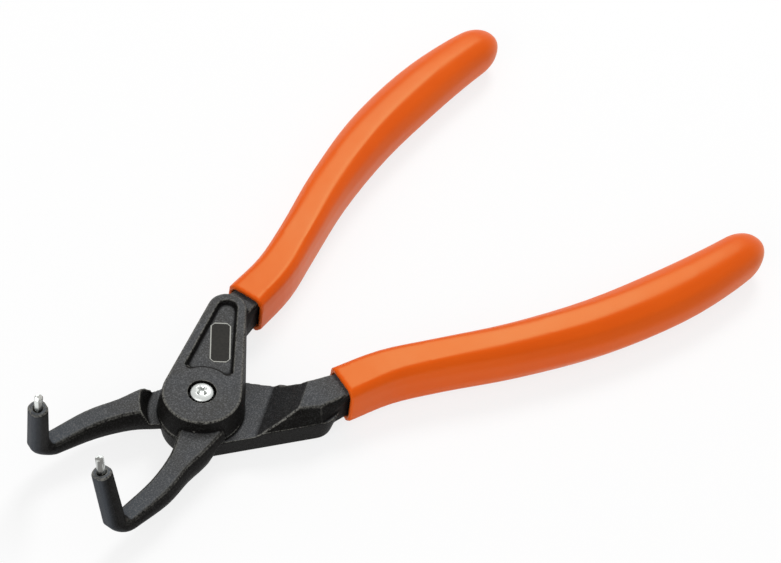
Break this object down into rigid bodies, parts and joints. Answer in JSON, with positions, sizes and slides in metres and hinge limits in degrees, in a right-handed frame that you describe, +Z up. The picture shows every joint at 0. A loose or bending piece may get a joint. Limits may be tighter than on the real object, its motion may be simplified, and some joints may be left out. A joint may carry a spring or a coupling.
{
  "type": "circlip pliers",
  "caption": "Circlip pliers for internal rings: two forged black levers crossed at a screwed lap joint, jaws bent square into pinned tips, dipped orange grips on curved handles.",
  "frame": {"origin": "where the pivot's axis meets the flat underside that the pliers lie on", "axes": "+X from the pivot towards the handles, midway between them; +Y towards the front lever's handle; +Z up along the pivot's axis, the way the tips point"},
  "size_m": [0.1662, 0.0972, 0.0279],
  "materials": {
    "phosphated_steel": "satin black",
    "dipped_vinyl": "glossy orange",
    "zinc_plate": "bright plated",
    "bright_steel": "ground"
  },
  "bodies": {
    "rear_half": {"rear_lever": "phosphated_steel", "rear_grip": "dipped_vinyl", "rear_tip_pin": "bright_steel", "pivot_screw": "zinc_plate", "pivot_nut": "zinc_plate"},
    "front_half": {"front_lever": "phosphated_steel", "front_grip": "dipped_vinyl", "front_tip_pin": "bright_steel"}
  },
  "joints": [
    {"name": "pivot", "type": "hinge", "parent": "rear_half", "child": "front_half", "pos_m": [0, 0, 0.006], "axis": [0, 0, 1], "range_deg": [-25, 15]}
  ]
}
